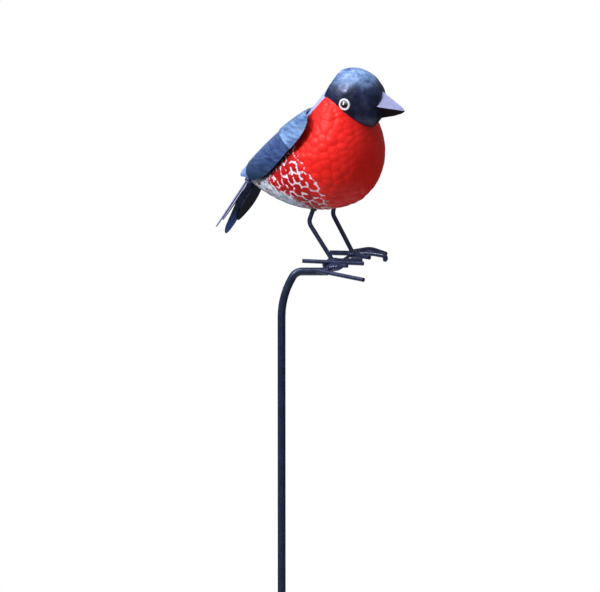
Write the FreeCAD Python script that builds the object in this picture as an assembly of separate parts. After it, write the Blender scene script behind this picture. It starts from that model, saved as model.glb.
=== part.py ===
import FreeCAD, Part
import math
import os

# Garden stake with a sheet-metal bird welded on top.
# Row frame, millimetres: origin on the stake's axis at soil level, +Z up, +X the way the bird faces,
# +Y the bird's left. Bird shapes are written in the bird's own frame, whose origin lies on the ground
# plane of its feet, midway between the two ankles, and B() carries them to the row frame.

V = FreeCAD.Vector

# ---- driving dimensions -------------------------------------------------------------------------
STAKE_DIA = 8.0
STAKE_BELOW_SOIL = 200.0
STAKE_POINT = 25.0            # length of the ground point
ARM_HEADING = 25.0            # degrees from +X towards +Y in which the stake's top arm runs
ARM_LENGTH = 26.0             # straight part of the arm past the bend
BEND_TURN = 30.0              # degrees turned by the long gentle arc, before the tight one
BEND_GENTLE_R = 83.2
BEND_TIGHT_R = 10.8
FEET_ABOVE_SOIL = 646.0
FEET_ABOVE_ARM = 7.45         # from the arm's axis up to the toes' centre plane
BIRD_AT = (42.0, 54.2)        # the bird frame's origin, seen from above

BODY_WALL = 1.0
HOOD_WALL = 1.0
NAPE_INSET = 0.8              # from the hood's rear rim in to the plate that closes it
PLATE = 1.0                   # wing and tail sheet
BEAK_WALL = 1.0
LEG_DIA = 4.5
TOE_DIA = 4.2
TOE_HOOK_DIA = 5.0            # the left foot's long toe, with its curled end
LINK_DIA = 3.2                # the bar between the feet
STRUT_DIA = 2.6               # the strut from the right foot to the stake's arm
ANKLE_HALF_GAUGE = 22.4       # half the distance between the two ankles

# Body: one row per rib, from the tail root to the crown. Each rib is an oval that spans from a point
# on the back to a point on the belly, both in the plane y = 0, and is as wide as its last value says.
#        back x, z     belly x, z   half width
RIBS = (
    (-101.0, 73.0, -97.0, 69.0, 6.0),
    (-95.0, 80.5, -85.0, 61.8, 18.0),
    (-82.0, 94.0, -62.0, 53.4, 32.5),
    (-66.0, 111.0, -36.5, 47.6, 44.0),
    (-51.0, 128.0, -5.0, 50.0, 49.5),
    (-39.0, 141.0, 23.0, 63.0, 50.0),
    (-30.0, 152.0, 39.2, 89.3, 46.0),
    (-22.0, 163.0, 40.6, 119.0, 37.5),
    (-14.5, 173.0, 33.8, 139.0, 28.0),
    (-7.0, 182.5, 25.0, 155.0, 20.0),
    (0.5, 191.0, 13.0, 172.0, 11.0),
)
RIB_POINTS = 24

# Hood: an egg whose lower and back rims lie in two planes.
HOOD_CENTRE = (12.6, 0.0, 162.3)
HOOD_RADII = (33.3, 26.0, 32.6)
HOOD_RIM_Z, HOOD_RIM_SLOPE = 158.2, -0.6        # lower rim plane: z = RIM_Z + RIM_SLOPE * x
HOOD_BACK_X, HOOD_BACK_Z, HOOD_BACK_SLOPE = -13.0, 167.0, 0.52   # x = BACK_X + SLOPE * (z - BACK_Z)

# Beak: x, ridge z, gape z, half width at the gape, chin z
BEAK_SECTIONS = (
    (34.0, 179.8, 161.0, 15.4, 144.2),
    (45.0, 173.6, 160.4, 11.0, 147.5),
    (57.0, 165.6, 158.9, 6.0, 150.6),
    (64.3, 160.9, 157.5, 2.7, 153.5),
    (67.5, 157.9, 156.7, 0.8, 155.6),
)
GAPE_GAP = 0.3

EYE_AT = (14.0, 25.0, 163.5)
EYE_RING_R, EYE_RING_WIRE_R = 4.9, 1.15
EYE_BEAD_R, EYE_BEAD_RISE = 3.9, 2.4

# Wing: the lower and the dorsal edge of its curved surface, from shoulder to tip, right wing
WING_LOWER = (
    (-19.0, -37.0, 154.0),
    (-19.5, -45.0, 137.0),
    (-32.0, -47.5, 119.0),
    (-50.0, -44.5, 98.0),
    (-67.5, -38.5, 82.0),
    (-84.0, -30.0, 75.2),
    (-98.0, -21.0, 73.8),
)
WING_DORSAL = (
    (-21.0, -26.5, 156.0),
    (-34.0, -18.0, 148.0),
    (-51.0, -12.5, 135.5),
    (-69.5, -9.5, 119.5),
    (-87.0, -9.0, 102.0),
    (-102.0, -10.0, 84.5),
    (-110.0, -13.0, 75.0),
)
WING_BULGE = 7.0              # how far the middle of a wing's section stands out from its chord
WING_LIFT = 1.28              # from one overlapping plate's face to the next

# Tail: pitch below the horizontal and roll of each side, and the place of its root
TAIL = {
    "left": {"root": (-104.8, 3.5, 68.3), "pitch": 66.0, "roll": 13.0},
    "right": {"root": (-101.0, -4.0, 72.3), "pitch": 56.8, "roll": 16.9},
}
TAIL_INNER_LENGTH, TAIL_INNER_WIDTH = 66.0, 14.0
TAIL_OUTER_LENGTH, TAIL_OUTER_WIDTH = 51.0, 20.0

OUT = "parts"


def B(x, y, z):
    """A point of the bird's frame in the row frame."""
    return V(x + BIRD_AT[0], y + BIRD_AT[1], z + FEET_ABOVE_SOIL)


def mirrored(shape):
    """The shape on the bird's other side."""
    return shape.mirror(B(0, 0, 0), V(0, 1, 0))


def save(name, shape):
    shape.exportStep(os.path.join(OUT, name + ".step"))


# ---- general makers -----------------------------------------------------------------------------
def oval(centre, half_chord, half_width, shrink=0.0):
    """A closed smooth oval through RIB_POINTS points, in the plane of half_chord and Y."""
    length = half_chord.Length
    chord = half_chord * ((length - shrink) / length)
    width = V(0, half_width - shrink, 0)
    turns = [2 * math.pi * i / RIB_POINTS for i in range(RIB_POINTS)]
    curve = Part.BSplineCurve()
    curve.interpolate([centre + chord * math.cos(a) + width * math.sin(a) for a in turns],
                      PeriodicFlag=True)
    return Part.Wire(curve.toShape())


def rod(points, diameter, bend=None, round_end=False):
    """A round wire along straight runs joined by tangent arcs of radius bend."""
    radius = diameter / 2
    edges, start = [], points[0]
    for before, corner, after in zip(points, points[1:], points[2:]):
        into, out = (corner - before).normalize(), (after - corner).normalize()
        turn = into.getAngle(out)
        reach = bend * math.tan(turn / 2)
        first, last = corner - into * reach, corner + out * reach
        middle = corner + (out - into).normalize() * bend * (1 / math.cos(turn / 2) - 1)
        edges.append(Part.LineSegment(start, first).toShape())
        edges.append(Part.Arc(first, middle, last).toShape())
        start = last
    edges.append(Part.LineSegment(start, points[-1]).toShape())
    along = (points[1] - points[0]).normalize()
    circle = Part.Wire(Part.Circle(points[0], along, radius).toShape())
    solid = Part.Wire(edges).makePipeShell([circle], True, True)
    if round_end:
        solid = solid.fuse(Part.makeSphere(radius, points[-1]))
    return solid


def blob(centre, radii, along=V(1, 0, 0)):
    """An ellipsoid with its first radius along a direction: a weld bead."""
    ball = Part.makeSphere(1.0)
    scale = FreeCAD.Matrix()
    scale.scale(*radii)
    ball = ball.transformGeometry(scale)
    ball.Placement = FreeCAD.Placement(centre, FreeCAD.Rotation(V(1, 0, 0), along))
    return ball


def half_space(point, normal, size=400.0):
    """A big block whose face passes through point and that lies on the side normal points to."""
    block = Part.makeBox(size, size, size, V(-size / 2, -size / 2, 0))
    block.Placement = FreeCAD.Placement(point, FreeCAD.Rotation(V(0, 0, 1), normal))
    return block


def sheet(grid, thickness):
    """A plate of even thickness on a smooth surface through a grid of points."""
    surface = Part.BSplineSurface()
    surface.interpolate(grid)
    return surface.toShape().makeOffsetShape(thickness, 0.01, fill=True)


def along_curve(points, s):
    """A point at s (0 to 1) of a smooth curve through points."""
    curve = Part.BSplineCurve()
    curve.interpolate([B(*p) for p in points])
    return curve.value(curve.FirstParameter + s * (curve.LastParameter - curve.FirstParameter))


# ---- head ---------------------------------------------------------------------------------------
def egg(shrink=0.0):
    return blob(B(*HOOD_CENTRE), [r - shrink for r in HOOD_RADII])


def hood_volume():
    """The solid inside the hood's outer face, cut by its two rim planes."""
    above_rim = half_space(B(0, 0, HOOD_RIM_Z), V(-HOOD_RIM_SLOPE, 0, 1))
    before_back = half_space(B(HOOD_BACK_X, 0, HOOD_BACK_Z), V(1, 0, -HOOD_BACK_SLOPE))
    return egg().common(above_rim).common(before_back)


def nape_plate(body):
    """Left half of the thin plate that closes the hood's open back around the mantle."""
    back, inward = B(HOOD_BACK_X, 0, HOOD_BACK_Z), V(1, 0, -HOOD_BACK_SLOPE).normalize()
    plate = egg(HOOD_WALL)
    for point, normal in ((B(0, 0, HOOD_RIM_Z), V(-HOOD_RIM_SLOPE, 0, 1)), (back + inward * NAPE_INSET, inward),
                          (back + inward * (NAPE_INSET + HOOD_WALL), -inward), (back, V(0, 1, 0))):
        plate = plate.common(half_space(point, normal))
    return plate.cut(body)


def beak_horn(shrink):
    """The whole beak as a solid with four sides, ridge up, smaller all round by shrink."""
    sections = []
    for x, ridge, gape, half, chin in BEAK_SECTIONS:
        corners = [B(x, 0, ridge - 1.5 * shrink), B(x, -half + 1.3 * shrink, gape),
                   B(x, 0, chin + 1.5 * shrink), B(x, half - 1.3 * shrink, gape)]
        sections.append(Part.makePolygon(corners + corners[:1]))
    return sections


def beak(hood):
    """Upper and lower beak, each a folded sheet, cut to sit on the hood."""
    outer = Part.makeLoft(beak_horn(0.0), True, True)
    inner = Part.makeLoft(beak_horn(BEAK_WALL)[:3], True, True)
    horn = outer.cut(inner).cut(hood)
    first, last = BEAK_SECTIONS[1], BEAK_SECTIONS[-1]
    gape_slope = (last[2] - first[2]) / (last[0] - first[0])
    normal = V(-gape_slope, 0, 1).normalize()
    gape = B(first[0], 0, first[2])
    upper = horn.common(half_space(gape + normal * (GAPE_GAP / 2), normal))
    lower = horn.common(half_space(gape - normal * (GAPE_GAP / 2), -normal))
    return upper, lower


def eye(hood):
    """Right eye: a bead and the ring around it, both seated on the hood's face."""
    x, y, z = EYE_AT
    gradient = [(p - c) / r ** 2 for p, c, r in zip((x, -y, z), HOOD_CENTRE, HOOD_RADII)]
    out = V(*gradient).normalize()
    reach = sum(((p - c) / r) ** 2 for p, c, r in zip((x, -y, z), HOOD_CENTRE, HOOD_RADII))
    centre = B(*[c + (p - c) / math.sqrt(reach) for p, c in zip((x, -y, z), HOOD_CENTRE)])
    ring = Part.makeTorus(EYE_RING_R, EYE_RING_WIRE_R, centre + out * 0.2, out)
    bead = blob(centre, (EYE_BEAD_RISE, EYE_BEAD_R, EYE_BEAD_R), out)
    return ring.cut(hood), bead.cut(hood).cut(ring)


# ---- body ---------------------------------------------------------------------------------------
def body_solid(shrink=0.0):
    ribs = []
    for back_x, back_z, belly_x, belly_z, half in RIBS:
        back, belly = B(back_x, 0, back_z), B(belly_x, 0, belly_z)
        ribs.append(oval((back + belly) * 0.5, (belly - back) * 0.5, half, shrink))
    return Part.makeLoft(ribs, True, False)


def body_shells(hood):
    """Left and right pressed halves that butt in the plane y = 0, open where the hood closes them."""
    shell = body_solid().cut(body_solid(BODY_WALL)).cut(hood)
    left = shell.common(half_space(B(0, 0, 100), V(0, 1, 0)))
    right = shell.common(half_space(B(0, 0, 100), V(0, -1, 0)))
    return left, right


# ---- wings --------------------------------------------------------------------------------------
def wing_point(s, t, lift):
    """A point of the right wing: s from shoulder to tip, t from the lower to the dorsal edge."""
    lower, dorsal = along_curve(WING_LOWER, s), along_curve(WING_DORSAL, s)
    step = 0.01 if s < 0.98 else -0.01
    run = (along_curve(WING_LOWER, s + step) + along_curve(WING_DORSAL, s + step)
           - lower - dorsal) * (1 if step > 0 else -1)
    across = dorsal - lower
    out = run.cross(across).normalize()
    if out.y > 0:
        out = -out
    rise = WING_BULGE * math.sin(math.pi * s) ** 0.5 if 0 < s < 1 else 0.0
    return lower + across * t + out * (4 * t * (1 - t) * rise + lift)


def wing_plate(start, end, t_range, lift, rows=9, columns=5):
    """A plate of the right wing between the s values start(t) and end(t)."""
    grid = []
    for i in range(rows):
        row = []
        for j in range(columns):
            t = t_range[0] + (t_range[1] - t_range[0]) * j / (columns - 1)
            s = start(t) + (end(t) - start(t)) * i / (rows - 1)
            row.append(wing_point(s, t, lift))
        grid.append(row)
    return sheet(grid, PLATE)


def wing_plates():
    """Right wing: the primary plate lies lowest, the secondary on it and the covert on top."""
    primary = wing_plate(lambda t: 0.30 + 0.05 * t,
                         lambda t: 0.99 - 0.10 * (2 * t - 1.1) ** 2, (0.12, 0.98), 0.0)
    secondary = wing_plate(lambda t: 0.16 + 0.04 * t,
                           lambda t: 0.905 - 0.09 * t ** 2, (0.04, 0.90), WING_LIFT)
    covert = wing_plate(lambda t: 0.038 * (1 - t ** 2),
                        lambda t: 0.34 + 0.08 * t, (0.0, 1.0), 2 * WING_LIFT)
    return primary, secondary, covert


# ---- tail ---------------------------------------------------------------------------------------
def tail_frame(side):
    """Root, the way back and down, the way outward and the upper face's normal of one tail half."""
    spec = TAIL[side]
    pitch, roll = math.radians(spec["pitch"]), math.radians(spec["roll"])
    out_y = 1 if side == "left" else -1
    back = V(-math.cos(pitch), 0, -math.sin(pitch))
    flat_normal = V(-math.sin(pitch), 0, math.cos(pitch))
    out = V(0, out_y * math.cos(roll), 0) - flat_normal * math.sin(roll)
    normal = flat_normal * math.cos(roll) + V(0, out_y * math.sin(roll), 0)
    return B(*spec["root"]), back, out, normal


def feather(side, outline, lift):
    """A flat plate whose outline is a closed smooth curve through (along, outward) points."""
    root, back, out, normal = tail_frame(side)
    places = [root + back * a + out * b + normal * lift for a, b in outline]
    blade = Part.BSplineCurve()
    blade.interpolate(places)
    wire = Part.Wire([blade.toShape(), Part.LineSegment(places[-1], places[0]).toShape()])
    return Part.Face(wire).extrude(normal * PLATE)


def tail_feathers(side):
    length, width = TAIL_INNER_LENGTH, TAIL_INNER_WIDTH
    inner = feather(side, ((0, -3.0), (0.3 * length, -3.6), (0.75 * length, -3.6),
                           (0.95 * length, -1.5), (length, 2.0), (0.95 * length, 6.0),
                           (0.75 * length, 0.8 * width), (0.3 * length, width), (0, width)), 0.0)
    length, width = TAIL_OUTER_LENGTH, TAIL_OUTER_WIDTH
    edge = TAIL_INNER_WIDTH * 0.5
    outer = feather(side, ((0, edge), (0.6 * length, edge), (0.94 * length, edge + 1.0),
                           (0.99 * length, edge + 3.5), (0.88 * length, edge + 0.58 * width),
                           (0.7 * length, edge + 0.9 * width), (0.4 * length, edge + 1.1 * width),
                           (0, edge + 0.8 * width)), -PLATE - 0.15)
    return inner, outer


# ---- legs and feet ------------------------------------------------------------------------------
LEGS = {     # hip and knee; the ankle lies on the feet's plane
    "left": ((-15.0, 17.5, 57.0), (-20.6, 21.0, 36.5)),
    "right": ((-21.5, -17.5, 57.0), (-27.7, -21.0, 37.1)),
}
KNEE_BEND = 9.0

# Toes, from the ankle: each is a run of points (forward, left, up)
TOES = {
    "left": {
        "long": ((-21.4, -6.1, -2.6), (0.0, 0.0, -2.2), (24.0, 0.6, -0.2), (37.4, 0.4, -1.0), (36.6, 0.2, -4.6)),
        "inner": ((0.0, -2.0, -3.4), (26.0, -14.5, -0.4)),
        "outer": ((1.0, 2.6, -0.6), (17.0, 7.6, 2.8), (32.0, 11.0, -1.6)),
    },
    "right": {
        "long": ((-28.6, -11.1, 0.0), (31.2, 5.5, 0.0)),
        "inner": ((1.0, 3.4, 0.4), (24.8, 16.2, 0.3)),
        "outer": ((-8.5, -2.5, -4.4), (19.2, -8.1, -0.4)),
    },
}
HIP_WELD_RADII = (1.7, 4.0, 3.6)
LEFT_FOOT_WELD_AT, LEFT_FOOT_WELD_RADII = (3.0, -1.6, -2.6), (8.0, 4.6, 4.0)      # from the ankle
RIGHT_FOOT_WELD_ENDS, RIGHT_FOOT_WELD_R = ((-2.6, -0.5, 0.2), (3.6, 0.6, 0.2)), 3.7
PERCH_WELD_AT, PERCH_WELD_RADII, PERCH_WELD_RISE = (4.0, -28.6, -3.8), (10.5, 6.4, 4.2), 0.22
LINK_ENDS = ((0.0, 19.0, -3.2), (6.0, -15.6, -1.0))
STRUT_ENDS = ((-8.6, -27.6, -1.0), (-4.4, -33.6, -5.4))
TAIL_WELD_ENDS, TAIL_WELD_R = ((-101.2, -6.0, 69.5), (-101.2, 6.0, 69.5)), 3.6
WING_TACKS_AT, WING_TACK_R = ((0.45, 0.82), (0.74, 0.80)), 3.0      # s and t on the wing
SEAM_TACKS_AT, SEAM_TACK_RADII = ((-27.0, 47.9), (-21.5, 47.6), (-16.0, 47.8)), (2.7, 2.4, 1.4)

TOE_BENDS = {"long": 2.6, "inner": 4.0, "outer": 20.0}
LOW_TOE = ((-8.5, -21.7, -4.9), (50.6, -37.3, -4.4))    # from the right ankle, along the stake's end


def ankle(side):
    return V(0, ANKLE_HALF_GAUGE if side == "left" else -ANKLE_HALF_GAUGE, 0)


def leg(side):
    hip, knee = (B(*p) for p in LEGS[side])
    return rod([hip, knee, B(*ankle(side))], LEG_DIA, KNEE_BEND)


def toe(side, which):
    start, curved = ankle(side), side == "left" and which != "inner"
    points = [B(*(start + V(*p))) for p in TOES[side][which]]
    diameter = TOE_HOOK_DIA if side == "left" and which == "long" else TOE_DIA
    return rod(points, diameter, TOE_BENDS[which], round_end=curved)


def toe_low():
    """The right foot's rear toe, welded along the stake's arm."""
    return rod([B(*(ankle("right") + V(*p))) for p in LOW_TOE], TOE_DIA)


# ---- welds --------------------------------------------------------------------------------------
def hip_weld(side, body):
    """A flat bead where the leg enters the belly."""
    hip, knee = (B(*p) for p in LEGS[side])
    buried = Part.LineSegment(hip, knee).toShape().common(body)
    entry = min((vertex.Point for vertex in buried.Vertexes), key=lambda point: point.z)
    return blob(entry, HIP_WELD_RADII, knee - hip)


def weld_run(start, end, radius):
    """A straight run of weld with round ends."""
    run = Part.makeCylinder(radius, (end - start).Length, start, end - start)
    return run.fuse([Part.makeSphere(radius, start), Part.makeSphere(radius, end)]).removeSplitter()


def foot_weld(side):
    """The bead that joins a leg's foot to its toes."""
    if side == "left":
        return blob(B(*(ankle(side) + V(*LEFT_FOOT_WELD_AT))), LEFT_FOOT_WELD_RADII)
    return weld_run(*(B(*(ankle(side) + V(*end))) for end in RIGHT_FOOT_WELD_ENDS), RIGHT_FOOT_WELD_R)


def wing_tack(s, t, body):
    """A short stub of weld from the body up into the right wing's lowest plate."""
    top = wing_point(s, t, 0.0)
    gap, pairs, _ = Part.Vertex(top).distToShape(body)
    base = pairs[0][1]
    return Part.makeCylinder(WING_TACK_R, gap + 1.5, base - (top - base).normalize(), top - base)


# ---- stake --------------------------------------------------------------------------------------
def arm_direction():
    return V(math.cos(math.radians(ARM_HEADING)), math.sin(math.radians(ARM_HEADING)), 0)


def stake():
    """The straight shaft with its point, two tangent arcs and the straight arm, as one rod."""
    radius, out, up = STAKE_DIA / 2, arm_direction(), V(0, 0, 1)
    side = out.cross(up)
    arm_z = FEET_ABOVE_SOIL - FEET_ABOVE_ARM
    turn = math.radians(BEND_TURN)
    rise = BEND_GENTLE_R * math.sin(turn) + BEND_TIGHT_R * (1 - math.sin(turn))
    foot, top = -STAKE_BELOW_SOIL + STAKE_POINT, arm_z - rise
    shaft = Part.makeCylinder(radius, top - foot, V(0, 0, foot))
    point = Part.makeCone(0.6, radius, STAKE_POINT, V(0, 0, -STAKE_BELOW_SOIL))
    disc = Part.Face(Part.Wire(Part.Circle(V(0, 0, top), up, radius).toShape()))
    gentle = disc.revolve(V(0, 0, top) + out * BEND_GENTLE_R, -side, BEND_TURN)
    mid = V(0, 0, top) + out * (BEND_GENTLE_R * (1 - math.cos(turn))) + up * (BEND_GENTLE_R * math.sin(turn))
    mid_way = up * math.cos(turn) + out * math.sin(turn)
    inward = out * math.cos(turn) - up * math.sin(turn)
    disc = Part.Face(Part.Wire(Part.Circle(mid, mid_way, radius).toShape()))
    tight = disc.revolve(mid + inward * BEND_TIGHT_R, -side, 90 - BEND_TURN)
    end = mid + out * (BEND_TIGHT_R * math.cos(turn)) + up * (BEND_TIGHT_R * (1 - math.sin(turn)))
    arm = Part.makeCylinder(radius, ARM_LENGTH, end, out)
    return shaft.fuse([point, gentle, tight, arm]).removeSplitter()


# ---- assembly -----------------------------------------------------------------------------------
def cut_all(shape, others):
    """The shape without what the others already fill."""
    for other in others:
        shape = shape.cut(other)
    return shape


def biggest(shape):
    """The largest solid of a cut shape."""
    return max(shape.Solids, key=lambda solid: solid.Volume)


def main():
    os.makedirs(OUT, exist_ok=True)
    parts = {}
    hood = hood_volume()
    parts["head_hood"] = hood.cut(egg(HOOD_WALL))
    parts["beak_upper"], parts["beak_lower"] = beak(hood)
    ring, bead = eye(hood)
    parts["eye_ring_right"], parts["eye_ring_left"] = ring, mirrored(ring)
    parts["eye_bead_right"], parts["eye_bead_left"] = bead, mirrored(bead)
    parts["body_shell_left"], parts["body_shell_right"] = body_shells(hood)

    for name, plate in zip(("primary", "secondary", "covert"), wing_plates()):
        parts["wing_" + name + "_right"] = plate
        parts["wing_" + name + "_left"] = mirrored(plate)
    for side in ("left", "right"):
        inner, outer = tail_feathers(side)
        parts["tail_inner_" + side] = inner
        parts["tail_outer_" + side] = outer

    parts["stake_rod"] = stake()
    body = body_solid()
    parts["nape_plate_left"] = biggest(nape_plate(body))
    parts["nape_plate_right"] = mirrored(parts["nape_plate_left"])
    feathers = [name for name in parts if name.startswith("tail_")]
    for name in feathers:
        parts[name] = biggest(parts[name].cut(body))
    for side in ("left", "right"):
        toes = []
        for which in ("long", "inner", "outer"):
            shape = cut_all(toe(side, which), toes)
            toes.append(biggest(shape))
            parts["toe_" + which + "_" + side] = toes[-1]
        shin = biggest(cut_all(leg(side), toes).cut(body))
        parts["leg_" + side] = shin
        parts["hip_weld_" + side] = biggest(hip_weld(side, body).cut(body).cut(shin))
    parts["toe_low_right"] = biggest(cut_all(toe_low(), [parts["stake_rod"], parts["toe_outer_right"]]))

    for side in ("left", "right"):
        foot = [shape for name, shape in parts.items()
                if name.startswith(("toe_", "leg_")) and name.endswith(side)]
        joined = foot + [parts["stake_rod"]]
        parts["foot_weld_" + side] = biggest(cut_all(foot_weld(side), joined))
    perch = blob(B(*PERCH_WELD_AT), PERCH_WELD_RADII, V(1, 0, PERCH_WELD_RISE))
    parts["perch_weld"] = biggest(cut_all(perch, joined + [parts["foot_weld_right"]]))
    feet = [shape for name, shape in parts.items() if name.startswith(("toe_", "leg_", "foot_", "perch_"))]
    for name, ends, diameter in (("foot_link", LINK_ENDS, LINK_DIA), ("perch_strut", STRUT_ENDS, STRUT_DIA)):
        bar = rod([B(*end) for end in ends], diameter)
        parts[name] = biggest(cut_all(bar, feet + [parts["stake_rod"]]))

    seam = weld_run(*(B(*end) for end in TAIL_WELD_ENDS), TAIL_WELD_R)
    parts["tail_weld"] = biggest(cut_all(seam, [body] + [parts[name] for name in feathers]))
    for number, (s, t) in enumerate(WING_TACKS_AT, 1):
        stub = biggest(wing_tack(s, t, body).cut(body).cut(parts["wing_primary_right"]))
        parts[f"wing_tack_{number}_right"], parts[f"wing_tack_{number}_left"] = stub, mirrored(stub)
    for number, (x, z) in enumerate(SEAM_TACKS_AT, 1):
        parts[f"belly_tack_{number}"] = biggest(blob(B(x, 0, z), SEAM_TACK_RADII).cut(body))

    for name, shape in parts.items():
        save(name, shape)
        print(name, len(shape.Solids), round(shape.Volume, 1), shape.isValid())


main()
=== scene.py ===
import math

import bmesh
import bpy
import numpy as np
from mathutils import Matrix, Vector, noise
from mathutils.bvhtree import BVHTree


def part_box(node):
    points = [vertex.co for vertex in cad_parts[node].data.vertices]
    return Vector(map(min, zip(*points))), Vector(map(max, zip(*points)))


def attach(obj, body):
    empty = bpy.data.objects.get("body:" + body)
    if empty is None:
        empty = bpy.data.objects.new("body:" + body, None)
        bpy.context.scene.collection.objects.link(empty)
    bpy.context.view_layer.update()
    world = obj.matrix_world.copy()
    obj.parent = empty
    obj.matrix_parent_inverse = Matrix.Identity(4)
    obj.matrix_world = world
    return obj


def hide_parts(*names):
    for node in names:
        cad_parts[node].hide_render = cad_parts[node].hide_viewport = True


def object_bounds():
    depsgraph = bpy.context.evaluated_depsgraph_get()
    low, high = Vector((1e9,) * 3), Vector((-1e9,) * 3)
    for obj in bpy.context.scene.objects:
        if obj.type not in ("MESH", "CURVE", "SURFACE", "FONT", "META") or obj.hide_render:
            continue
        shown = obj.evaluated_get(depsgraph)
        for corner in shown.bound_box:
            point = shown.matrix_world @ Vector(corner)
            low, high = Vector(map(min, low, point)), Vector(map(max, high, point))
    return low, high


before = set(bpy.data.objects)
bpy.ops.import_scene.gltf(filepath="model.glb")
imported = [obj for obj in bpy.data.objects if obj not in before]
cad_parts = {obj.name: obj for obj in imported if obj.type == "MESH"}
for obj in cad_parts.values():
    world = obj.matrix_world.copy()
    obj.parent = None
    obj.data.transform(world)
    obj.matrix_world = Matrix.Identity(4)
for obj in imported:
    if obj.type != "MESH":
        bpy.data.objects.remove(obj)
cad_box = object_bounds()

# ---- sizes and places, in metres in the row frame -----------------------------------------------
MM = 0.001
BIRD_ORIGIN = Vector((0.0420, 0.0542, 0.6460))     # on the plane of the feet, midway between the ankles

CAMERA_AZIMUTH, CAMERA_ELEVATION = 25.0, 15.0      # degrees
CAMERA_DISTANCE = 10.0
CAMERA_TARGET = Vector((0.0078, 0.0269, 0.6076))
CAMERA_LENS, CAMERA_SENSOR = 600.0, 36.0           # mm

FAR = 0.4                     # a ray starts this far out, past any shell
FLOOR_RADIUS = 0.9
SHEET = 1.0 * MM              # thickness of the pressed sheet metal

BUMP_COLUMN, BUMP_ROW = 11.0, 8.6    # spacing of the body's hammered scales along and across a row, mm
BUMP_HEIGHT = 0.85                   # mm
ROW_FALL, ROW_CURVE = 0.50, 0.0055   # how steeply the rows fall towards the breast, and how that eases, per mm
BUMP_STRAY = 0.27                    # how far a scale strays from its place, as a part of the spacing


def bird(x, y, z):
    """A point of the bird's frame, given in millimetres."""
    return BIRD_ORIGIN + Vector((x, y, z)) * MM


def smooth_step(low, high, value):
    t = np.clip((value - low) / (high - low), 0.0, 1.0)
    return t * t * (3 - 2 * t)


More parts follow.
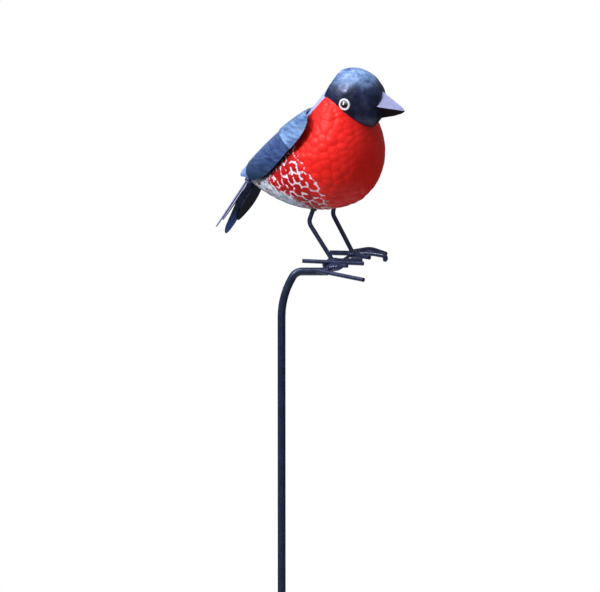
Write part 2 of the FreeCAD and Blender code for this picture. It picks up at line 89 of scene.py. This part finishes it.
# ---- paint --------------------------------------------------------------------------------------
class Paint:
    """A Principled material put together socket by socket."""

    def __init__(self, name, roughness=0.35, coat=0.3, specular=0.5, sheen=(1.0, 1.0, 1.0)):
        self.material = bpy.data.materials.new(name)
        self.material.use_nodes = True
        self.tree = self.material.node_tree
        self.shader = self.tree.nodes["Principled BSDF"]
        self.shader.inputs["Roughness"].default_value = roughness
        self.shader.inputs["Coat Weight"].default_value = coat
        self.shader.inputs["Coat Roughness"].default_value = 0.12
        self.shader.inputs["Specular IOR Level"].default_value = specular
        self.shader.inputs["Specular Tint"].default_value = (*sheen, 1.0)
        self.shader.inputs["Coat Tint"].default_value = (1.0, 1.0, 1.0, 1.0)
        self.place = self.tree.nodes.new("ShaderNodeTexCoord").outputs["Object"]

    def feed(self, socket, value):
        if isinstance(value, bpy.types.NodeSocket):
            self.tree.links.new(value, socket)
        elif isinstance(value, tuple) and len(value) == 3 and socket.type == "RGBA":
            socket.default_value = (*value, 1.0)
        else:
            socket.default_value = value

    def turned(self, angle, scale):
        """The object's coordinates turned about Y by angle degrees, then scaled."""
        node = self.tree.nodes.new("ShaderNodeMapping")
        node.inputs["Rotation"].default_value = (0.0, math.radians(angle), 0.0)
        node.inputs["Scale"].default_value = scale
        self.feed(node.inputs["Vector"], self.place)
        return node.outputs["Vector"]

    def noise(self, scale, detail=3.0, rough=0.5, place=None):
        node = self.tree.nodes.new("ShaderNodeTexNoise")
        node.inputs["Scale"].default_value = scale
        node.inputs["Detail"].default_value = detail
        node.inputs["Roughness"].default_value = rough
        self.feed(node.inputs["Vector"], place or self.place)
        return node.outputs["Fac"]

    def cells(self, scale, place=None):
        node = self.tree.nodes.new("ShaderNodeTexVoronoi")
        node.feature = "SMOOTH_F1"
        node.inputs["Scale"].default_value = scale
        self.feed(node.inputs["Vector"], place or self.place)
        return node.outputs["Distance"]

    def maths(self, operation, first, second=0.0, clamp=False):
        node = self.tree.nodes.new("ShaderNodeMath")
        node.operation = operation
        node.use_clamp = clamp
        self.feed(node.inputs[0], first)
        self.feed(node.inputs[1], second)
        return node.outputs[0]

    def spread(self, value, low, high, to_low=0.0, to_high=1.0):
        """value eased from low..high to to_low..to_high."""
        node = self.tree.nodes.new("ShaderNodeMapRange")
        node.interpolation_type = "SMOOTHSTEP"
        for name, number in (("From Min", low), ("From Max", high), ("To Min", to_low), ("To Max", to_high)):
            node.inputs[name].default_value = number
        self.feed(node.inputs["Value"], value)
        return node.outputs["Result"]

    def along(self, direction):
        """The object's coordinates measured along a direction."""
        node = self.tree.nodes.new("ShaderNodeVectorMath")
        node.operation = "DOT_PRODUCT"
        self.feed(node.inputs[0], self.place)
        node.inputs[1].default_value = direction
        return node.outputs["Value"]

    def axis(self, letter):
        node = self.tree.nodes.new("ShaderNodeSeparateXYZ")
        self.feed(node.inputs[0], self.place)
        return node.outputs[letter]

    def facing(self, letter):
        """How far the surface faces along a world axis, -1 to 1."""
        geometry = self.tree.nodes.new("ShaderNodeNewGeometry")
        node = self.tree.nodes.new("ShaderNodeSeparateXYZ")
        self.feed(node.inputs[0], geometry.outputs["Normal"])
        return node.outputs[letter]

    def mask(self, name):
        node = self.tree.nodes.new("ShaderNodeAttribute")
        node.attribute_name = name
        return node.outputs["Fac"]

    def mix(self, factor, first, second):
        node = self.tree.nodes.new("ShaderNodeMix")
        node.data_type = "RGBA"
        self.feed(node.inputs["Factor"], factor)
        self.feed(node.inputs[6], first)
        self.feed(node.inputs[7], second)
        return node.outputs[2]

    def colour(self, value):
        self.feed(self.shader.inputs["Base Color"], value)

    def roughness(self, value):
        self.feed(self.shader.inputs["Roughness"], value)

    def bump(self, *layers):
        """Height layers, each (socket, depth in metres), stacked on the surface."""
        normal = None
        for height, depth in layers:
            node = self.tree.nodes.new("ShaderNodeBump")
            node.inputs["Strength"].default_value = 1.0
            node.inputs["Distance"].default_value = depth
            self.feed(node.inputs["Height"], height)
            if normal is not None:
                self.feed(node.inputs["Normal"], normal)
            normal = node.outputs["Normal"]
        self.feed(self.shader.inputs["Normal"], normal)


def body_paint():
    paint = Paint("body_enamel", roughness=0.42, coat=0.0, specular=0.14)
    patches = paint.noise(60.0, 3.0)
    red = paint.mix(patches, (0.84, 0.012, 0.010), (0.97, 0.030, 0.024))
    # painted shade: the red is darkened in the grooves between the hammered scales
    red = paint.mix(paint.mask("crease_shade"), red, (0.62, 0.006, 0.005))
    # painted shade: the red darkens towards the rear of the body
    red = paint.mix(paint.mask("rear"), red, (0.36, 0.004, 0.008))
    worn = paint.spread(paint.noise(210.0, 4.0, 0.65), 0.42, 0.56)
    breaks = paint.spread(paint.noise(85.0, 2.0), 0.34, 0.46)
    worn = paint.maths("MULTIPLY", worn, breaks)
    white = paint.maths("MULTIPLY", paint.mask("white"), worn, clamp=True)
    white = paint.spread(white, 0.12, 0.45)
    blotch = paint.spread(paint.noise(190.0, 3.0, 0.6), 0.50, 0.62)
    pale_tint = paint.mix(paint.noise(120.0, 3.0), (0.28, 0.42, 0.55), (0.66, 0.74, 0.90))
    pale = paint.mix(blotch, pale_tint, (0.20, 0.01, 0.03))
    colour = paint.mix(white, red, (0.88, 0.76, 0.88))
    colour = paint.mix(paint.mask("pale"), colour, paint.mix(white, pale, (0.90, 0.84, 0.92)))
    blue = paint.mix(paint.noise(140.0, 4.0), (0.20, 0.28, 0.48), (0.42, 0.54, 0.78))
    colour = paint.mix(paint.mask("mantle"), colour, blue)
    # painted shade: a dark band on the body along the wings' edges, where the wings shade it
    colour = paint.mix(paint.mask("soot"), colour, (0.012, 0.006, 0.012))
    paint.colour(colour)
    paint.roughness(paint.spread(paint.noise(400.0), 0.3, 0.7, 0.34, 0.50))
    paint.bump((paint.noise(900.0, 2.0), 0.05 * MM))
    return paint.material


def hood_paint():
    paint = Paint("hood_enamel", roughness=0.34, coat=0.0, specular=0.6, sheen=(0.62, 0.68, 1.0))
    crown_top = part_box("head_hood")[1].z
    ragged = paint.maths("ADD", paint.axis("Z"), paint.maths("MULTIPLY", paint.noise(80.0, 4.0), 16 * MM))
    # painted reflection: the top of the hood is painted a lighter, mottled blue where the overhead light shines
    # on the gloss
    painted_crown_sheen = paint.spread(ragged, crown_top - 13 * MM, crown_top + 8 * MM)
    clouds = paint.spread(paint.noise(120.0, 4.0), 0.3, 0.7)
    navy = paint.mix(clouds, (0.003, 0.004, 0.014), (0.018, 0.024, 0.075))
    mottle = paint.spread(paint.noise(150.0, 5.0, 0.65), 0.35, 0.65)
    blue = paint.mix(mottle, (0.045, 0.10, 0.25), (0.26, 0.40, 0.70))
    paint.colour(paint.mix(painted_crown_sheen, navy, blue))
    paint.roughness(paint.spread(paint.noise(170.0, 3.0), 0.3, 0.7, 0.26, 0.46))
    paint.bump((paint.noise(900.0, 2.0), 0.06 * MM), (paint.cells(170.0), 0.22 * MM))
    return paint.material


def beak_paint(name, low, high, tint, specular=0.18):
    paint = Paint(name, roughness=0.42, coat=0.0, specular=specular)
    base = paint.mix(paint.noise(210.0, 4.0), low, high)
    rubbed = paint.spread(paint.noise(500.0, 4.0, 0.7), 0.60, 0.72)
    paint.colour(paint.mix(rubbed, base, tint))
    paint.bump((paint.noise(1100.0, 2.0), 0.04 * MM))
    return paint.material


def eye_white():
    paint = Paint("eye_white_enamel", roughness=0.25, coat=0.5)
    paint.colour(paint.mix(paint.noise(900.0), (0.80, 0.81, 0.84), (0.93, 0.93, 0.94)))
    paint.bump((paint.noise(2000.0), 0.02 * MM))
    return paint.material


def eye_black():
    """Black gloss with a painted reflection: a grey upper half and a white dot painted on as a glint."""
    paint = Paint("eye_black_enamel", roughness=0.10, coat=0.6)
    low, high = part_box("eye_bead_right")
    middle = (low + high) / 2
    black = paint.mix(paint.noise(900.0), (0.002, 0.002, 0.003), (0.008, 0.008, 0.012))
    # painted reflection: the bead's upper half is painted grey
    painted_upper_reflection = paint.spread(paint.axis("Z"), middle.z + 0.3 * MM, middle.z + 3.0 * MM)
    painted_reflection_grey = paint.mix(painted_upper_reflection, black, (0.20, 0.20, 0.22))
    # painted glint: a white dot on the bead's upper half
    x = paint.maths("SUBTRACT", paint.axis("X"), middle.x - 0.4 * MM)
    z = paint.maths("SUBTRACT", paint.axis("Z"), middle.z + 0.9 * MM)
    painted_glint = paint.maths("SQRT", paint.maths("ADD", paint.maths("POWER", x, 2.0), paint.maths("POWER", z, 2.0)))
    paint.colour(paint.mix(paint.spread(painted_glint, 1.1 * MM, 0.6 * MM), painted_reflection_grey, (0.95, 0.95, 0.95)))
    paint.bump((paint.noise(2500.0), 0.01 * MM))
    return paint.material


def plate_paint(name, dark, light, streaks, angle, painted_tip_light=None, ridge_highlight=None, shade_band=None):
    """Brushed paint: streaks of a lighter colour along a direction in the X-Z plane. The three optional tints
    paint light and shade: painted shade on the low end, a painted highlight along the side towards the back,
    and painted shade, partly over darker paint, in a stretch across the plate."""
    paint = Paint(name, roughness=0.38, coat=0.0, specular=0.5, sheen=(0.7, 0.78, 1.0))
    along = paint.turned(angle, (30.0, 120.0, 420.0))
    strokes = paint.noise(1.0, 5.0, 0.62, along)
    clouds = paint.noise(45.0, 3.0)
    mixed = paint.maths("ADD", paint.maths("MULTIPLY", strokes, 0.65), paint.maths("MULTIPLY", clouds, 0.35))
    base = paint.mix(paint.spread(mixed, 0.36, 0.64), dark, light)
    fine = paint.spread(paint.noise(1.0, 6.0, 0.75, paint.turned(angle, (60.0, 300.0, 1500.0))), 0.55, 0.72)
    colour = paint.mix(paint.maths("MULTIPLY", fine, 0.60), base, streaks)
    # painted shade: the plate darkens towards its low end
    if painted_tip_light is not None:
        low_z, high_z, tint = painted_tip_light
        colour = paint.mix(paint.spread(paint.axis("Z"), high_z, low_z), colour, tint)
    # painted highlight: the plate is lighter towards its upper, back edge
    if ridge_highlight is not None:
        start, end, tint = ridge_highlight
        dorsal = paint.maths("ADD", paint.along((-0.707, 0.0, 0.707)), paint.maths("MULTIPLY", strokes, 9 * MM))
        colour = paint.mix(paint.spread(dorsal, start, end, 0.0, 0.85), colour, tint)
    # painted shade, partly over darker paint, in a stretch across the plate behind the covert's rear edge
    if shade_band is not None:
        start, end, tint = shade_band
        shade = paint.maths("ADD", paint.along((-0.707, 0.0, -0.707)), paint.maths("MULTIPLY", clouds, 6 * MM))
        colour = paint.mix(paint.spread(shade, start, end, 0.9, 0.0), colour, tint)
    paint.colour(colour)
    paint.roughness(paint.spread(strokes, 0.3, 0.7, 0.30, 0.48))
    paint.bump((strokes, 0.12 * MM), (paint.noise(1000.0, 2.0), 0.03 * MM))
    return paint.material


def tail_paint(name, dark, light, painted_tip_light):
    """Dark under the tail, with a painted reflection in pale lavender on its upper face, and an optional painted
    sheen towards the low end.
    """
    paint = Paint(name, roughness=0.42, coat=0.0, specular=0.35, sheen=(0.7, 0.78, 1.0))
    strokes = paint.noise(1.0, 5.0, 0.6, paint.turned(62.0, (40.0, 150.0, 500.0)))
    colour = paint.mix(paint.spread(strokes, 0.35, 0.65), dark, light)
    # painted sheen: the tail is painted a lighter blue towards its low end
    if painted_tip_light is not None:
        low_z, high_z, tint = painted_tip_light
        colour = paint.mix(paint.spread(paint.axis("Z"), high_z, low_z), colour, tint)
    # painted reflection: pale lavender on the faces that point upwards
    painted_upper_reflection = paint.mix(strokes, (0.26, 0.25, 0.44), (0.50, 0.48, 0.70))
    paint.colour(paint.mix(paint.spread(paint.facing("Z"), 0.15, 0.35), colour, painted_upper_reflection))
    paint.bump((strokes, 0.10 * MM))
    return paint.material


def wire_paint(name, dark, light, roughness):
    paint = Paint(name, roughness=roughness, coat=0.0, specular=0.7, sheen=(0.66, 0.72, 1.0))
    paint.colour(paint.mix(paint.noise(160.0, 4.0), dark, light))
    paint.roughness(paint.spread(paint.noise(350.0, 3.0), 0.3, 0.7, roughness - 0.07, roughness + 0.10))
    paint.bump((paint.noise(700.0, 3.0), 0.05 * MM), (paint.noise(130.0, 2.0), 0.15 * MM))
    return paint.material


# ---- pressed shells -----------------------------------------------------------------------------
def outer_reach(*nodes):
    """A function (centre, direction) -> distance to the outer face of these nodes, or None past a rim."""
    corners, faces = [], []
    for node in nodes:
        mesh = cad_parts[node].data
        first = len(corners)
        corners += [vertex.co.copy() for vertex in mesh.vertices]
        faces += [[first + index for index in face.vertices] for face in mesh.polygons]
    tree = BVHTree.FromPolygons(corners, faces)

    def reach(centre, direction):
        hit = tree.ray_cast(centre + direction * FAR, -direction)[0]
        if hit is None or (hit - centre).dot(direction) <= 0:
            return None
        return (hit - centre).length

    return reach


def shell_grid(reach, centre, pole, side, rows, columns, turn, back_off):
    """Points of a shell seen from centre: rows from the pole to the rim, columns around it.
    side is the direction of a quarter turn, and turn the part of the circle that is covered."""
    level = side.cross(pole).normalized()
    angles = np.linspace(0.0, turn, columns)
    grid = np.zeros((rows, columns, 3))
    lengths = np.zeros((rows, columns))
    for column, angle in enumerate(angles):
        around = level * math.cos(angle) + side * math.sin(angle)
        low, high = 0.0, math.pi
        for _ in range(14):
            middle = (low + high) / 2
            found = reach(centre, pole * math.cos(middle) + around * math.sin(middle))
            low, high = (low, middle) if found is None else (middle, high)
        rim = low - back_off
        last = 0.0
        for row in range(rows):
            theta = rim * row / (rows - 1)
            direction = pole * math.cos(theta) + around * math.sin(theta)
            last = reach(centre, direction) or last
            lengths[row, column] = last
            grid[row, column] = direction
    return grid, lengths


def softened(lengths, wrap, times=4):
    """The distances with the frame's facets smoothed away."""
    for _ in range(times):
        mode = "wrap" if wrap else "reflect"
        across = np.pad(lengths, ((0, 0), (1, 1)), mode=mode)
        lengths = (across[:, :-2] + 2 * across[:, 1:-1] + across[:, 2:]) / 4
        down = np.pad(lengths, ((1, 1), (0, 0)), mode="edge")
        inner = (down[:-2] + 2 * down[1:-1] + down[2:]) / 4
        lengths = np.vstack([lengths[:1], inner[1:-1], lengths[-1:]])
    return lengths


def grid_normals(points, centre):
    down = np.gradient(points, axis=0)
    across = np.gradient(points, axis=1)
    normals = np.cross(down, across)
    size = np.linalg.norm(normals, axis=2, keepdims=True)
    outward = points - np.array(centre)
    radial = outward / np.linalg.norm(outward, axis=2, keepdims=True)
    normals = np.where(size > 1e-12, normals / np.maximum(size, 1e-12), radial)
    facing = np.sign((normals * radial).sum(axis=2, keepdims=True))
    return normals * np.where(facing == 0, 1.0, facing)


def grid_object(name, points, centre, wrap, masks):
    rows, columns = points.shape[:2]
    faces = []
    for row in range(rows - 1):
        for column in range(columns if wrap else columns - 1):
            right = (column + 1) % columns
            faces.append((row * columns + column, (row + 1) * columns + column,
                          (row + 1) * columns + right, row * columns + right))
    mesh = bpy.data.meshes.new(name)
    mesh.from_pydata(points.reshape(-1, 3).tolist(), [], faces)
    for mask, values in masks.items():
        mesh.attributes.new(mask, "FLOAT", "POINT").data.foreach_set("value", values.ravel().astype(np.float32))
    work = bmesh.new()
    work.from_mesh(mesh)
    work.verts.ensure_lookup_table()
    bmesh.ops.remove_doubles(work, verts=work.verts[:columns], dist=1e-6)
    work.faces.ensure_lookup_table()
    probe = work.faces[len(work.faces) // 2]
    if probe.normal.dot(probe.calc_center_median() - centre) < 0:
        bmesh.ops.reverse_faces(work, faces=work.faces)
    work.to_mesh(mesh)
    work.free()
    mesh.shade_smooth()
    thing = bpy.data.objects.new(name, mesh)
    bpy.context.scene.collection.objects.link(thing)
    return thing


def thicken(thing, depth=SHEET):
    solid = thing.modifiers.new("sheet", "SOLIDIFY")
    solid.thickness = depth
    solid.offset = -1.0
    solid.use_rim = True


# ---- body ---------------------------------------------------------------------------------------
# Lengths in this section's formulas are millimetres of the bird's frame unless they carry MM.
def scatter(first, second, seed):
    """A fixed scatter between -1 and 1 for whole-number pairs."""
    value = np.sin(first * 127.1 + second * 311.7 + seed * 74.7) * 43758.5453
    return 2 * (value - np.floor(value)) - 1


def scale_cells(along, across):
    """Distances in mm to the nearest and second nearest scale's middle, whether those two lie in
    different rows, and how proud the nearest one is."""
    nearest = np.full(along.shape, 1e9)
    second, own_row, other_row, proud = nearest.copy(), nearest * 0, nearest * 0, nearest * 0
    row = np.floor(across / BUMP_ROW)
    for row_step in (-1, 0, 1):
        line = row + row_step
        shift = 0.5 * np.mod(line, 2)
        column = np.floor(along / BUMP_COLUMN - shift)
        for column_step in (-1, 0, 1):
            place = column + column_step
            centre_along = (place + shift + 0.5 + BUMP_STRAY * scatter(place, line, 1)) * BUMP_COLUMN
            centre_across = (line + 0.5 + BUMP_STRAY * scatter(place, line, 2)) * BUMP_ROW
            distance = np.hypot(along - centre_along, across - centre_across)
            first, runner_up = distance < nearest, distance < second
            other_row = np.where(first, own_row, np.where(runner_up, line, other_row))
            second = np.where(first, nearest, np.where(runner_up, distance, second))
            own_row = np.where(first, line, own_row)
            proud = np.where(first, 0.75 + 0.35 * scatter(place, line, 3), proud)
            nearest = np.minimum(nearest, distance)
    return nearest, second, own_row != other_row, proud


def blurred(field, times):
    """A field over a grid, averaged with its neighbours."""
    for _ in range(times):
        wide = np.pad(field, 1, mode="edge")
        field = (wide[:-2, 1:-1] + wide[2:, 1:-1] + wide[1:-1, :-2] + wide[1:-1, 2:] + 2 * field) / 6
    return field


def wing_distance(points):
    """How far each point is from the wings' plates, in mm."""
    corners, faces = [], []
    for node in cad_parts:
        if node.startswith("wing_") and "tack" not in node:
            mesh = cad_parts[node].data
            first = len(corners)
            corners += [vertex.co.copy() for vertex in mesh.vertices]
            faces += [[first + index for index in face.vertices] for face in mesh.polygons]
    tree = BVHTree.FromPolygons(corners, faces)
    flat = points.reshape(-1, 3)
    found = [tree.find_nearest(Vector(point), 0.02)[3] or 0.02 for point in flat]
    return np.array(found).reshape(points.shape[:2]) / MM


def body_half(side_name):
    nodes = ("body_shell_left", "body_shell_right")
    centre = bird(-12.0, 0.0, 100.0)
    pole = Vector((-0.40, 0.0, -0.92)).normalized()
    side = Vector((0.0, 1.0 if side_name == "left" else -1.0, 0.0))
    directions, lengths = shell_grid(outer_reach(*nodes), centre, pole, side, 225, 215, math.pi, 0.004)
    lengths = softened(lengths, wrap=False)
    points = np.array(centre) + directions * lengths[..., None]
    normals = grid_normals(points, centre)

    x, y, z = ((points[..., axis] - BIRD_ORIGIN[axis]) / MM for axis in range(3))
    outward = np.arccos(np.clip(np.abs(directions[..., 1]), 0.0, 1.0))
    unroll = outward / np.maximum(np.sin(outward), 1e-3)
    flat_x, flat_z = (x + 12.0) * unroll, (z - 100.0) * unroll
    along = (flat_x - ROW_FALL * flat_z) / math.hypot(1.0, ROW_FALL)
    across = flat_z + ROW_FALL * flat_x - ROW_CURVE * flat_x ** 2
    wobble = np.array([noise.noise(Vector(p) * 45.0) for p in points.reshape(-1, 3)]).reshape(x.shape)
    nearest, second, between_rows, proud = scale_cells(along + 3.0 * wobble, across - 3.0 * wobble)
    past_mantle = x + 12.0 + 0.82 * (165.0 - z)      # mm in front of the line where the mantle ends

    gap = second - nearest
    calm = 1.0 - 0.72 * smooth_step(8.0, 34.0, x) * smooth_step(60.0, 84.0, z)
    calm *= 1.0 - 0.85 * smooth_step(0.0, -6.0, past_mantle)
    calm *= smooth_step(-99.0, -90.0, x) * (0.45 + 0.55 * smooth_step(50.0, 66.0, z))
    rim_fade = smooth_step(1.0, 0.97, np.linspace(0, 1, x.shape[0]))[:, None]
    pillow = blurred((1.0 - (nearest / 5.4) ** 2) * proud, 3)
    points = points + normals * ((pillow - 0.5) * BUMP_HEIGHT * MM * calm * rim_fade)[..., None]

    red_line = np.interp(z, (58.0, 88.0, 100.0, 120.0), (2.0, -6.0, -14.0, -30.0))
    ragged = 5.0 * wobble
    rear = smooth_step(-2.0, 5.0, red_line - x + ragged)
    low = 65.0 - 0.64 * (x + 36.0) - z
    masks = {
        # painted shade in the grooves between the scales
        "crease_shade": 0.5 * smooth_step(2.6, 0.2, gap) * calm,
        # painted shade, growing towards the rear of the body
        "rear": 0.8 * smooth_step(-2.0, 22.0, red_line - x),
        "white": blurred(smooth_step(2.6, 0.9, gap) * np.where(between_rows, 1.0, 0.55), 1) * rear,
        "pale": smooth_step(-2.0, 5.0, low + ragged * 1.4) * smooth_step(-18.0, -30.0, x),
        "mantle": smooth_step(1.0, -1.0, past_mantle + 0.25 * ragged),
        # painted shade along the wings' edges
        "soot": 0.9 * smooth_step(6.5, 2.2, wing_distance(points)) * smooth_step(-1.0, 3.0, past_mantle),
    }
    half = grid_object("body_" + side_name, points, centre, False, masks)
    thicken(half)
    return half


# ---- head ---------------------------------------------------------------------------------------
def hood():
    centre = bird(11.0, 0.0, 166.0)
    pole = Vector((0.96, 0.0, 0.27)).normalized()
    directions, lengths = shell_grid(outer_reach("head_hood"), centre, pole, Vector((0.0, 1.0, 0.0)),
                                     130, 321, 2 * math.pi, 0.006)
    directions, lengths = directions[:, :-1], softened(lengths[:, :-1], wrap=True)
    points = np.array(centre) + directions * lengths[..., None]
    normals = grid_normals(points, centre)
    z = (points[..., 2] - BIRD_ORIGIN[2]) / MM
    dents = np.array([noise.noise(Vector(p) * 125.0) for p in points.reshape(-1, 3)]).reshape(z.shape)
    brow = 0.25 + 0.75 * smooth_step(164.0, 174.0, z) * smooth_step(190.0, 180.0, z)
    flare = 0.5 * smooth_step(0.965, 1.0, np.linspace(0, 1, z.shape[0]))[:, None]
    points = points + normals * ((0.55 * dents * brow + flare) * MM)[..., None]
    head = grid_object("hood", points, centre, True, {})
    thicken(head)
    return head


# ---- smaller pieces -----------------------------------------------------------------------------
def copy_of(node, name):
    """A new piece with the same mesh as a CAD node, in its place."""
    thing = bpy.data.objects.new(name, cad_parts[node].data.copy())
    bpy.context.scene.collection.objects.link(thing)
    return thing


def remeshed(thing, voxel, smooth):
    """Even, rounded faces in place of the thing's long triangles."""
    remesh = thing.modifiers.new("remesh", "REMESH")
    remesh.mode = "VOXEL"
    remesh.voxel_size = voxel
    remesh.use_smooth_shade = True
    even = thing.modifiers.new("even", "SMOOTH")
    even.factor = 0.5
    even.iterations = smooth


def weld(node, voxel=0.35 * MM, depth=0.9 * MM):
    """A lumpy weld bead in place of the plain one."""
    bead = copy_of(node, node + "_bead")
    remeshed(bead, voxel, 3)
    depsgraph = bpy.context.evaluated_depsgraph_get()
    mesh = bpy.data.meshes.new_from_object(bead.evaluated_get(depsgraph))
    bead.modifiers.clear()
    bead.data = mesh
    for vertex in mesh.vertices:
        lump = noise.noise(vertex.co * 420.0) + 0.5 * noise.noise(vertex.co * 1100.0)
        vertex.co += vertex.normal * (depth * 0.5 * lump)
    return bead


def finish_piece(thing, material, slot, *nodes):
    thing.data.materials.clear()
    thing.data.materials.append(material)
    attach(thing, "root")
    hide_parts(*nodes)


def repaint(node, material):
    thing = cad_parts[node]
    thing.data.materials.clear()
    thing.data.materials.append(material)


# ---- the object ---------------------------------------------------------------------------------
red = body_paint()
for side_name in ("left", "right"):
    finish_piece(body_half(side_name), red, "body_paint", "body_shell_" + side_name)
navy = hood_paint()
finish_piece(hood(), navy, "hood_paint", "head_hood")
for side_name in ("left", "right"):
    repaint("nape_plate_" + side_name, navy)

repaint("beak_upper", beak_paint("beak_upper_enamel", (0.24, 0.24, 0.46), (0.42, 0.43, 0.68), (0.55, 0.62, 0.85)))
repaint("beak_lower", beak_paint("beak_lower_enamel", (0.003, 0.002, 0.004), (0.012, 0.004, 0.006),
                                 (0.06, 0.008, 0.010), specular=0.05))
white, black = eye_white(), eye_black()
for side_name in ("left", "right"):
    repaint("eye_ring_" + side_name, white)
    repaint("eye_bead_" + side_name, black)

wing_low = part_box("wing_primary_right")[0].z
covert_end = -0.546           # metres down the wing's length at which the covert's rear edge lies
# Painted light on the wings: shade at the secondary's low end and behind the covert's edge, a highlight along the
# back edges of the secondary and primary.
wing_paints = {
    "covert": plate_paint("covert_enamel", (0.045, 0.10, 0.24), (0.20, 0.33, 0.58), (0.50, 0.64, 0.86), 45.0),
    "secondary": plate_paint("secondary_enamel", (0.010, 0.022, 0.085), (0.045, 0.090, 0.25), (0.26, 0.36, 0.66),
                             100.0, painted_tip_light=(wing_low, wing_low + 30 * MM, (0.008, 0.026, 0.06)),
                             ridge_highlight=(0.556, 0.580, (0.16, 0.27, 0.52)),
                             shade_band=(covert_end + 7 * MM, covert_end + 13 * MM, (0.022, 0.040, 0.13))),
    "primary": plate_paint("primary_enamel", (0.016, 0.034, 0.10), (0.06, 0.11, 0.28), (0.20, 0.26, 0.50), 100.0,
                           ridge_highlight=(0.548, 0.566, (0.26, 0.38, 0.72))),
}
tail_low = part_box("tail_inner_left")[0].z
# the inner tail carries a painted blue sheen towards its tip
tail_paints = {
    "inner": tail_paint("tail_inner_enamel", (0.006, 0.010, 0.034), (0.020, 0.034, 0.105),
                        (tail_low, tail_low + 30 * MM, (0.05, 0.13, 0.42))),
    "outer": tail_paint("tail_outer_enamel", (0.002, 0.003, 0.006), (0.010, 0.012, 0.026), None),
}
wire = wire_paint("wire_enamel", (0.006, 0.009, 0.030), (0.028, 0.038, 0.105), 0.29)
bar = wire_paint("bar_enamel", (0.005, 0.009, 0.024), (0.020, 0.032, 0.075), 0.32)
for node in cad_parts:
    family = node.split("_")[0]
    if family == "wing" and "tack" not in node:
        repaint(node, wing_paints[node.split("_")[1]])
    elif family == "tail" and node != "tail_weld":
        repaint(node, tail_paints[node.split("_")[1]])
    elif family in ("leg", "toe") or "tack" in node or node in ("foot_link", "perch_strut"):     # bare wire
        repaint(node, wire)
repaint("stake_rod", bar)
for node in ("foot_weld_left", "foot_weld_right", "perch_weld", "tail_weld", "hip_weld_left", "hip_weld_right"):
    finish_piece(weld(node), wire, "weld_paint", node)


# ---- surroundings -------------------------------------------------------------------------------
def camera():
    azimuth, elevation = math.radians(CAMERA_AZIMUTH), math.radians(CAMERA_ELEVATION)
    back = Vector((math.sin(azimuth) * math.cos(elevation), -math.cos(azimuth) * math.cos(elevation),
                   math.sin(elevation)))
    data = bpy.data.cameras.new("camera")
    data.lens, data.sensor_width = CAMERA_LENS, CAMERA_SENSOR
    data.clip_end = 100.0
    thing = bpy.data.objects.new("camera", data)
    thing.location = CAMERA_TARGET + back * CAMERA_DISTANCE
    thing.rotation_mode = "QUATERNION"
    thing.rotation_quaternion = (-back).to_track_quat("-Z", "Y")
    bpy.context.scene.collection.objects.link(thing)
    bpy.context.scene.camera = thing


def soft_light(name, place, size, power, tint=(1.0, 1.0, 1.0)):
    data = bpy.data.lights.new(name, "AREA")
    data.shape, data.size = "DISK", size
    data.energy, data.color = power, tint
    thing = bpy.data.objects.new(name, data)
    thing.location = Vector(place)
    thing.rotation_mode = "QUATERNION"
    thing.rotation_quaternion = (CAMERA_TARGET - thing.location).to_track_quat("-Z", "Y")
    bpy.context.scene.collection.objects.link(thing)


def white_room():
    """A white surround: bright overhead, and plain white where the camera looks past the object."""
    world = bpy.data.worlds.new("room")
    bpy.context.scene.world = world
    world.use_nodes = True
    tree = world.node_tree
    shade = tree.nodes["Background"]
    shade.inputs["Color"].default_value = (1.0, 1.0, 1.0, 1.0)
    place = tree.nodes.new("ShaderNodeTexCoord")
    split = tree.nodes.new("ShaderNodeSeparateXYZ")
    tree.links.new(place.outputs["Generated"], split.inputs[0])
    ramp = tree.nodes.new("ShaderNodeMapRange")
    ramp.inputs["From Min"].default_value, ramp.inputs["From Max"].default_value = -0.6, 0.9
    ramp.inputs["To Min"].default_value, ramp.inputs["To Max"].default_value = 0.03, 0.42
    tree.links.new(split.outputs["Z"], ramp.inputs["Value"])
    rays = tree.nodes.new("ShaderNodeLightPath")
    pick = tree.nodes.new("ShaderNodeMix")
    tree.links.new(rays.outputs["Is Camera Ray"], pick.inputs["Factor"])
    tree.links.new(ramp.outputs["Result"], pick.inputs["A"])
    pick.inputs["B"].default_value = 1.0
    tree.links.new(pick.outputs["Result"], shade.inputs["Strength"])


def floor():
    """A pale round floor that the stake's point stands on."""
    foot = cad_box[0].z
    mesh = bpy.data.meshes.new("floor")
    work = bmesh.new()
    bmesh.ops.create_circle(work, cap_ends=True, segments=96, radius=FLOOR_RADIUS)
    work.to_mesh(mesh)
    work.free()
    thing = bpy.data.objects.new("floor", mesh)
    thing.location.z = foot
    bpy.context.scene.collection.objects.link(thing)
    paint = Paint("floor", roughness=0.8, coat=0.0)
    paint.colour(paint.mix(paint.noise(8.0), (0.80, 0.80, 0.80), (0.84, 0.84, 0.84)))
    mesh.materials.append(paint.material)


camera()
white_room()
floor()
soft_light("overhead", (-0.35, -0.15, 1.9), 1.1, 16.0, (0.82, 0.90, 1.0))
soft_light("key", (-1.0, -1.5, 2.1), 0.7, 46.0)
soft_light("fill", (1.6, -1.9, 0.6), 1.2, 2.5)
bpy.context.scene.view_settings.view_transform = "Standard"
